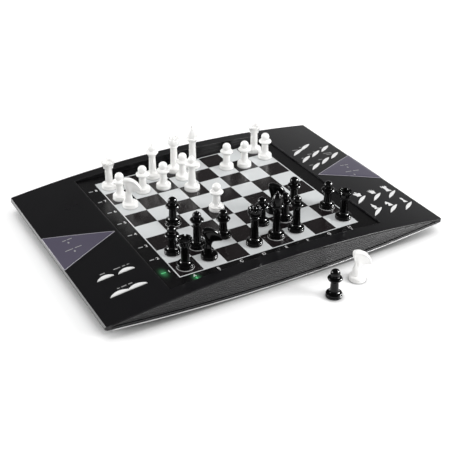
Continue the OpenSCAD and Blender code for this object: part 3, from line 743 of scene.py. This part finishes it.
def sign_skins(signs, lift):
    """Thin prints that follow the arch: each outline, mirrored where it is half of a
    symmetric sign, becomes a prism with its top a hair above the surface."""
    skins = []
    for kind, x, y, width, height in signs:
        half = HALF_SIGNS.get(kind)
        outline = half + [(-u, v) for u, v in half[::-1] if u] if half else WHOLE_SIGNS[kind]
        flat = np.array(outline) * (width / 2, height / 2) + (x, y)
        base = arch(flat[:, 0])
        count = len(flat)
        points = np.vstack([np.c_[flat, base + lift - SIGN_THICK], np.c_[flat, base + lift]])
        sides = [[i, (i + 1) % count, count + (i + 1) % count, count + i] for i in range(count)]
        skins.append((points, [list(range(count))[::-1], list(range(count, 2 * count))] + sides))
    return joined(*skins)


class CHESS_OT_signs(bpy.types.Operator):
    """Prints plain signs beside the keys and on the inlays"""

    bl_idname = "chess.signs"
    bl_label = "Signs"

    def execute(self, context):
        faint = print_finish("faint_print", FAINT_PRINT)
        for name, signs, lift, finish, slot in (
                ("piece_signs", PIECE_SIGNS, SIGN_LIFT, print_finish("pale_print"), "shell"),
                ("case_signs", CASE_SIGNS, SIGN_LIFT, faint, "shell"),
                ("inlay_signs", INLAY_SIGNS, INLAY_SIGN_LIFT, faint, "inlay")):
            new_piece(name, *sign_skins(signs, lift), finish, "console", slot, False)
        return {"FINISHED"}


# ---- Inlays ----


def inlay_path(side):
    """Rounded outline of an inlay and its middle: a triangle whose tip points at the board."""
    tip, edge = side * INLAY_TIP, side * (HALF_W - INLAY_MARGIN)
    corners = np.array([[tip, 0.0], [edge, INLAY_BACK], [edge, INLAY_FRONT]])
    if side < 0:
        corners = corners[::-1]
    outline = soft_outline(np.c_[corners, np.full(3, 1.0)], 6)
    return fill_path(outline, 3.0), corners.mean(axis=0)


def inlay_skin(side):
    """A triangular plate over the arch: rings run round a rounded triangle and step in from
    the lower edge, over a bevel, to the flat middle."""
    path, centre = inlay_path(side)
    inward = centre - path
    size = np.linalg.norm(inward, axis=1, keepdims=True)
    rows = []
    for inset, lift in ((0.16, -0.9), (0.16, 0.1), (0.8, 0.42), (1.76, INLAY_PROUD),
                        (6.4, INLAY_PROUD)):
        ring = path + inward * inset / size
        rows.append(np.c_[ring, arch(ring[:, 0]) + lift])
    for share in (0.4, 0.7, 0.95):
        ring = path + inward * share
        rows.append(np.c_[ring, arch(ring[:, 0]) + INLAY_PROUD])
    return tube(np.stack(rows))


class CHESS_OT_inlays(bpy.types.Operator):
    """Sets the bevelled pearl-grey triangles in both wings and round each a bead of painted
    highlight
    """

    bl_idname = "chess.inlays"
    bl_label = "Inlays"

    def execute(self, context):
        pearl = finish_of("pearl_grey", finishes().inlay, 0.24, grain=(3000, 0.02), mottle=0.05,
                          coat=0.2)
        piece = new_piece("bevelled_inlays", *joined(inlay_skin(1), inlay_skin(-1)), pearl,
                          "console", "inlay")
        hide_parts("side_inlays")
        # The beads' pale grey is a painted highlight along the inlays' edges
        edge_highlight_paint = finish_of("inlay_edge_painted_highlight", (0.33, 0.32, 0.36), 0.3, coat=0.4)
        edges = [bead(inlay_path(side)[0][::-1], INLAY_BEAD_R, INLAY_BEAD_SINK, 0.0)
                 for side in (1, -1)]
        new_piece("inlay_edges", *joined(*edges), edge_highlight_paint, "console", "inlay")
        return {"FINISHED"}


# ---- Chess men ----


def pad_skin(radius, steps):
    """The thin round pad under a man: a flat disc with a soft upper edge."""
    return tube(revolve(soft_outline([(0.1, 0, 0), (radius, 0, 0.1), (radius, PAD, 0.35),
                                      (0.1, PAD, 0)]), steps))


def foot_corners(foot):
    """The moulded foot all men share: a drum with a groove round it, a soft shoulder and the
    concave flare into the stem. It stands in the pad, whose edge shows round it."""
    return [(0.1, PAD / 2, 0), (foot, PAD / 2, 0.1), (foot, 2.6, 0.3), (foot - 0.45, 2.9, 0.1),
            (foot - 0.45, 3.1, 0.1), (foot - 0.05, 3.5, 0.3), (foot - 0.05, 4.7, 0.7),
            (foot - 1.2, 5.4, 0.4), (5.5, 5.8, 0.7), (4.1, 7.6, 1.2)]


def pawn_skin(height, steps):
    """A turned pawn: foot, conical stem, a collar like a shallow bell and the ball."""
    lower = soft_outline(foot_corners(PAWN_FOOT) + [
        (3.7, height - 13.4, 0.6), (6.4, height - 11.4, 0.5), (7.3, height - 9.9, 0.6),
        (6.4, height - 8.7, 0.5), (4.6, height - 8.0, 0.3)])
    return tube(revolve(np.vstack([lower, ball(4.65, height - 4.65, -40, 89)]), steps))


def bishop_skin(height, steps):
    """A turned bishop: longer stem, funnel and collar, mitre ball and a small finial."""
    lower = soft_outline(foot_corners(FOOT) + [
        (3.6, height - 16, 1.4), (4.6, height - 13, 1.0), (6.5, height - 10.9, 0.5),
        (6.9, height - 10, 0.4), (6.2, height - 9.2, 0.4), (3.9, height - 8.5, 0.3)])
    head = ball(4.25, height - 5.4, -40, 64)
    return tube(revolve(np.vstack([lower, head, ball(0.9, height - 0.9, -40, 89, 6)]), steps))


def notched(grid, top, depth, count, width):
    """Cuts square notches into a rim: points above the notch floor drop to it where the
    angle falls in one of the notches."""
    angle = np.arctan2(grid[..., 1], grid[..., 0])
    wave = np.cos(count * angle)
    gate = np.clip((wave - (1 - width)) * 6, 0, 1)
    floor = top - depth
    over = np.maximum(grid[..., 2] - floor, 0)
    grid[..., 2] -= over * gate
    return grid


def rook_skin(height, steps):
    """A turned rook: flared cup with a hollow top and six notches."""
    lower = soft_outline(foot_corners(FOOT) + [
        (3.8, height - 8.9, 0.8), (5.1, height - 8.1, 0.4), (5.3, height - 7.2, 0.4),
        (5.0, height - 6.6, 0.3), (6.6, height - 2.9, 1.2), (6.9, height - 2.2, 0.2),
        (6.9, height - 1, 0), (6.9, height, 0.3), (5.0, height, 0.3), (4.9, height - 2.4, 0.4),
        (0.2, height - 2.5, 0)])
    return tube(notched(revolve(lower, 2 * steps), height, 2.1, 6, 0.3))


def queen_skin(height, steps):
    """A turned queen: a tall cup whose rim rises and falls in eight points round a small
    ball."""
    cup = soft_outline(foot_corners(FOOT) + [
        (3.6, height - 13.2, 1.0), (5.0, height - 12.2, 0.5), (5.0, height - 11.3, 0.4),
        (4.4, height - 10.7, 0.3), (6.6, height - 8.2, 1.2), (7.3, height - 4.6, 1.2),
        (6.6, height - 0.9, 0.3), (5.7, height - 0.9, 0.3), (4.6, height - 3.8, 0.5),
        (2.4, height - 3.8, 0.3)])
    grid = revolve(np.vstack([cup, ball(2.4, height - 2.4, -40, 89)]), steps)
    angle = np.arctan2(grid[..., 1], grid[..., 0])
    radius = np.hypot(grid[..., 0], grid[..., 1])
    rise = np.clip((grid[..., 2] - (height - 5)) / 3, 0, 1) * np.clip((radius - 4.4) / 1.2, 0, 1)
    grid[..., 2] -= rise * 1.8 * (0.5 - 0.5 * np.cos(8 * angle))
    return tube(grid)


def king_skin(height, steps):
    """A turned king: a wide brim on a funnel, and a bell that narrows to a knob."""
    lower = soft_outline(foot_corners(FOOT) + [
        (3.6, height - 21.5, 2.0), (4.5, height - 18.4, 1.0), (6.4, height - 16.5, 0.5),
        (6.9, height - 15.4, 0.5), (6.5, height - 14.3, 0.4), (5.7, height - 13.7, 0.3),
        (5.6, height - 10.8, 0.8), (4.5, height - 6.6, 1.2), (2.7, height - 3.3, 0.6),
        (1.3, height - 2.4, 0.2)])
    return tube(revolve(np.vstack([lower, ball(1.3, height - 1.3, -60, 89)]), steps))


# Height that the knight's outlines are drawn for
KNIGHT_DRAWN = 33.0


def knight_skin(height, steps):
    """A knight: the foot is turned, and the head is lofted from the neck to the nose. Ring by
    ring it spans a back edge (mane, crest, forehead) and a front edge (chest, throat, lips);
    across each ring the mane stands out as a band and the face lies a little deeper."""
    foot = soft_outline(foot_corners(FOOT)[:-1] + [(0.2, 7.8, 0)])
    k = np.array([0, 0.12, 0.25, 0.34, 0.43, 0.51, 0.58, 0.66, 0.75, 0.85, 0.93, 1.0])
    back = np.array([[-5.4, 4.6], [-5.2, 9.5], [-4.2, 14], [-3.5, 18], [-4.2, 22], [-5.9, 26],
                     [-6.6, 29.8], [-5.8, 32.6], [-0.5, 33.2], [5.4, 31], [9.9, 26.6],
                     [12.6, 20.5]])
    front = np.array([[3.4, 4.6], [2.4, 9.5], [2.0, 12.5], [2.2, 14.6], [2.6, 16.0],
                      [3.2, 17.2], [4.0, 17.9], [5.2, 18.2], [7.0, 18.2], [9.0, 18.2],
                      [10.8, 18.2], [12.2, 18.6]])
    wide = np.array([4.4, 3.8, 3.4, 3.3, 3.4, 3.5, 3.5, 3.5, 3.4, 3.2, 2.8, 2.0])
    t = np.linspace(0, 1, 61)

    def smooth(values):
        return np.stack([np.convolve(np.pad(np.interp(t, k, v), 2, "edge"), np.ones(5) / 5,
                                     "valid") for v in np.atleast_2d(values.T)], axis=-1)

    back, front, wide = smooth(back), smooth(front), smooth(wide)[:, 0]
    a = np.linspace(0, 2 * np.pi, 64, endpoint=False)
    q = (1 - np.cos(a)) / 2
    swell = np.abs(np.sin(a)) ** 0.5
    head = (np.clip((t - 0.22) / 0.12, 0, 1) * np.clip((1 - t) / 0.1, 0, 1))[:, None]
    face = np.clip((q - 0.18) / 0.05, 0, 1)
    jaw = np.exp(-((q - 0.62) / 0.2) ** 2) * np.exp(-((t - 0.52) / 0.13) ** 2)[:, None]
    thick = wide[:, None] * swell * (1 - head * face * (0.24 - 0.14 * jaw)) * np.sign(np.sin(a))
    flat = back[:, None] * (1 - q[:, None]) + front[:, None] * q[:, None]
    grid = np.stack([flat[..., 0], thick, flat[..., 1]], axis=-1)
    points, faces = joined(tube(revolve(foot, steps)), tube(grid[:, ::-1]))
    return points * (1, 1, height / KNIGHT_DRAWN), faces


# kind: (maker, height)
MEN = {
    "pawn": (pawn_skin, 30.6),
    "rook": (rook_skin, 32.0),
    "knight": (knight_skin, KNIGHT_DRAWN),
    "bishop": (bishop_skin, 40.4),
    "queen": (queen_skin, 42.0),
    "king": (king_skin, 51.0),
}
# Collection of the men, which show the small lamps' glints
POLISHED = "polished_men"
# Men that don't stand square to the board, in degrees
TURNS = {"white_rook_2": 15, "white_knight_1": -35, "white_queen": 10, "white_king": -25,
         "black_rook_2": 20, "black_knight_1": -20, "black_knight_2": -35, "black_king": -25,
         "white_knight_2": -30}


def man_place(node, foot, turn):
    """The axis of a man: its foot touches its box on each side that the head doesn't reach."""
    low, high = (np.array(corner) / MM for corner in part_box(node))
    toward = np.array([math.cos(math.radians(turn)), math.sin(math.radians(turn))])
    near = np.where(toward > 0, low[:2] + foot, high[:2] - foot)
    return near[0], near[1], low[2]


class CHESS_OT_men(bpy.types.Operator):
    """Turns all the chess men and stands each on its pad where its plain one stands"""

    bl_idname = "chess.men"
    bl_label = "Chess men"

    def execute(self, context):
        steps = sizes().turn_steps
        white = finish_of("polished_white", finishes().light_men, 0.28, grain=(900, 0.015),
                          mottle=0.02, gleam=0.3)
        black = finish_of("polished_black", finishes().dark_men, 0.08, grain=(900, 0.01),
                          mottle=0.1, spread=0.02, gleam=0.2)
        pad = finish_of("pale_pad", finishes().pad, 0.6, grain=(1500, 0.1), mottle=0.06)
        skins = {kind: make(height, steps) for kind, (make, height) in MEN.items()}
        looks = {"white": (white, "light_piece"), "black": (black, "dark_piece")}
        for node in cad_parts:
            side, _, rest = node.partition("_")
            if side not in looks:
                continue
            kind = rest.split("_")[0]
            turn = TURNS.get(node, 0)
            foot = (PAWN_FOOT if kind == "pawn" else FOOT) + FLANGE
            place = man_place(node, foot, turn)
            material, slot = looks[side]
            skin = moved(skins[kind], place, turn)
            piece = new_piece(node + "_man", *skin, material, node, slot)
            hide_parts(node)
            bpy.data.collections[POLISHED].objects.link(piece)
            ring = moved(pad_skin(foot - FLANGE + PAD_OUT, steps), place)
            new_piece(node + "_pad", *ring, pad, node, "light_piece")
        return {"FINISHED"}


# ---- Small parts ----


class CHESS_OT_small_parts(bpy.types.Operator):
    """Finishes the parts underneath and inside"""

    bl_idname = "chess.small_parts"
    bl_label = "Small parts"

    def execute(self, context):
        rubber = finish_of("soft_rubber", (0.02, 0.02, 0.02), 0.85, grain=(1200, 0.25), mottle=0.1)
        steel = finish_of("zinc_steel", (0.55, 0.55, 0.57), 0.35, grain=(700, 0.1), mottle=0.1)
        steel.node_tree.nodes["Principled BSDF"].inputs["Metallic"].default_value = 1
        green = finish_of("green_laminate", (0.01, 0.09, 0.035), 0.4, grain=(500, 0.1), mottle=0.15)
        cone = finish_of("paper_cone", (0.03, 0.03, 0.03), 0.8, grain=(600, 0.4), mottle=0.2)
        wrap = finish_of("cell_wrap", (0.25, 0.25, 0.27), 0.3, mottle=0.05, coat=0.3)
        for node, material in (("feet", rubber), ("key_mats", rubber), ("screws", steel),
                               ("circuit_boards", green), ("speaker", cone),
                               ("battery_cells", wrap)):
            dress(node, material)
        return {"FINISHED"}


# ---- Stage ----

FLOOR_WHITE = 0.92
FLOOR_REACH = 6.0
# How far the floor looks for what stands on it, for its painted shade near the object
LIFT_SHADE_REACH = 0.06
PAINTED_SHADE_REACH = 0.012
# Distance of the softboxes at the camera's sides
BOX_DISTANCE = 1.4
# Power of the left glint lamp as a share of the right one's
LEFT_GLINT = 0.25


def camera_axes(stage):
    """Right, up and back of the camera, from its azimuth, elevation and roll."""
    a, e, roll = (math.radians(v) for v in (stage.azimuth, stage.elevation, stage.roll))
    right = Vector((math.cos(a), math.sin(a), 0))
    back = Vector((math.sin(a) * math.cos(e), -math.cos(a) * math.cos(e), math.sin(e)))
    up = back.cross(right)
    return (right * math.cos(roll) + up * math.sin(roll),
            up * math.cos(roll) - right * math.sin(roll), back)


def softbox(name, place, size, power, mirrored=True, only=None):
    """A square area light that looks at the middle of the board. It may be left out of
    reflections, or only glint in the pieces of one collection and add no light."""
    lamp = bpy.data.lights.new(name, "AREA")
    lamp.size = size
    lamp.energy = power
    holder = bpy.data.objects.new(name, lamp)
    holder.visible_diffuse = only is None
    holder.visible_glossy = mirrored
    if only:
        holder.light_linking.receiver_collection = only
    holder.location = place
    holder.rotation_mode = "QUATERNION"
    holder.rotation_quaternion = (-Vector(place)).to_track_quat("-Z", "Y")
    bpy.context.scene.collection.objects.link(holder)


def room_light(strength):
    """A white room: full white to the camera, an even soft light, and in reflections pale at
    the horizon and dim above it."""
    world = bpy.data.worlds.new("white_room")
    bpy.context.scene.world = world
    world.use_nodes = True
    graph = Graph(world.node_tree)
    calc = graph.math
    mirrored = graph.ramp(graph.axes("Generated")[2], 0.0, 0.45, 0.8, 0.08)
    path = graph.add("LightPath")
    gloss = path["Is Glossy Ray"]
    plain = calc("MULTIPLY", calc("SUBTRACT", 1, gloss), strength)
    shown = calc("ADD", plain, calc("MULTIPLY", gloss, mirrored))
    seen = calc("MAXIMUM", path["Is Camera Ray"], path["Is Transmission Ray"])
    graph.feed(graph.shader, {"Color": (1, 1, 1, 1), "Strength": calc("MAXIMUM", shown, seen)})


def floor_finish():
    """A pale floor that keeps the shadow: matt white, lifted a little for the camera where it
    lies open. Near the object the lift is held back and the colour painted darker: painted shade."""
    material = finish_of("pale_floor", (FLOOR_WHITE,) * 3, 0.6, grain=(60, 0.0))
    graph = Graph(material.node_tree)
    path = graph.add("LightPath")
    seen = graph.math("MAXIMUM", path["Is Camera Ray"], path["Is Glossy Ray"])
    # Painted shade: occlusion holds back the lift and darkens the floor's colour near the object
    wide, close = (graph.add("AmbientOcclusion", {"Distance": reach})["AO"]
                   for reach in (LIFT_SHADE_REACH, PAINTED_SHADE_REACH))
    lift = graph.ramp(wide, 0.4, 0.7, 0.0, 0.2)
    graph.feed(graph.shader, {
        "Specular IOR Level": 0.2, "Emission Color": (1, 1, 1, 1),
        "Emission Strength": graph.math("MULTIPLY", seen, lift),
        "Base Color": graph.ramp(close, 0.35, 0.95, 0.3, FLOOR_WHITE)})
    return material


class CHESS_OT_stage(bpy.types.Operator):
    """Lays the floor and sets the lights and the camera"""

    bl_idname = "chess.stage"
    bl_label = "Stage"

    def execute(self, context):
        stage = context.scene.chess_stage
        context.scene.view_settings.view_transform = "Standard"
        mesh = bpy.data.meshes.new("floor")
        mesh.from_pydata([(x * FLOOR_REACH, y * FLOOR_REACH, 0)
                          for x, y in ((-1, -1), (1, -1), (1, 1), (-1, 1))], [], [(0, 1, 2, 3)])
        mesh.materials.append(floor_finish())
        floor = bpy.data.objects.new("floor", mesh)
        context.scene.collection.objects.link(floor)

        right, up, back = camera_axes(stage)
        polished = bpy.data.collections.new(POLISHED)
        softbox("right_softbox", (0.85, -0.95, 0.62), 0.55, stage.right_power)
        softbox("left_softbox", (-right * 0.85 + up * 0.3 + back * 0.35) * BOX_DISTANCE, 0.4,
                stage.left_power)
        softbox("top_softbox", (0.1, 0.5, 1.3), 0.9, stage.top_power, mirrored=False)
        softbox("low_softbox", (-0.95, 1.1, 0.35), 0.6, stage.rim_power)
        softbox("right_glint", (right * 0.9 + up * 0.42 + back * 0.1) * BOX_DISTANCE, 0.35,
                stage.glint_power, only=polished)
        softbox("left_glint", (-right * 0.95 + up * 0.27) * BOX_DISTANCE, 0.45,
                stage.glint_power * LEFT_GLINT, only=polished)
        room_light(stage.ambient)

        lens = bpy.data.cameras.new("camera")
        lens.lens = stage.lens
        lens.sensor_width = 36
        camera = bpy.data.objects.new("camera", lens)
        camera.rotation_mode = "QUATERNION"
        camera.rotation_quaternion = Matrix((right, up, back)).transposed().to_quaternion()
        camera.location = stage.eye
        context.scene.collection.objects.link(camera)
        context.scene.camera = camera
        return {"FINISHED"}


class CHESS_PT_panel(bpy.types.Panel):
    """Settings and steps of the chess computer's finish"""

    bl_idname = "CHESS_PT_panel"
    bl_label = "Chess Computer"
    bl_space_type = "VIEW_3D"
    bl_region_type = "UI"
    bl_category = "Chess"

    def draw(self, context):
        for name, group in GROUPS.items():
            for setting in group.__annotations__:
                self.layout.prop(getattr(context.scene, name), setting)
        for operator in OPERATORS:
            self.layout.operator(operator.bl_idname)


OPERATORS = (CHESS_OT_stage, CHESS_OT_housing, CHESS_OT_board, CHESS_OT_keys, CHESS_OT_signs,
             CHESS_OT_inlays, CHESS_OT_men, CHESS_OT_small_parts)
GROUPS = {"chess_finish": FinishSettings, "chess_size": SizeSettings,
          "chess_stage": StageSettings}


def register():
    """Registers the settings, the operators and the panel."""
    for name, group in GROUPS.items():
        bpy.utils.register_class(group)
        setattr(bpy.types.Scene, name, PointerProperty(type=group))
    for operator in OPERATORS:
        bpy.utils.register_class(operator)
    bpy.utils.register_class(CHESS_PT_panel)


def unregister():
    """Takes everything off again, last first."""
    bpy.utils.unregister_class(CHESS_PT_panel)
    for operator in reversed(OPERATORS):
        bpy.utils.unregister_class(operator)
    for name, group in reversed(GROUPS.items()):
        delattr(bpy.types.Scene, name)
        bpy.utils.unregister_class(group)


def main():
    """Makes every piece in order."""
    register()
    bpy.ops.chess.stage()
    bpy.ops.chess.housing()
    bpy.ops.chess.board()
    bpy.ops.chess.keys()
    bpy.ops.chess.signs()
    bpy.ops.chess.inlays()
    bpy.ops.chess.men()
    bpy.ops.chess.small_parts()


if __name__ == "__main__":
    main()
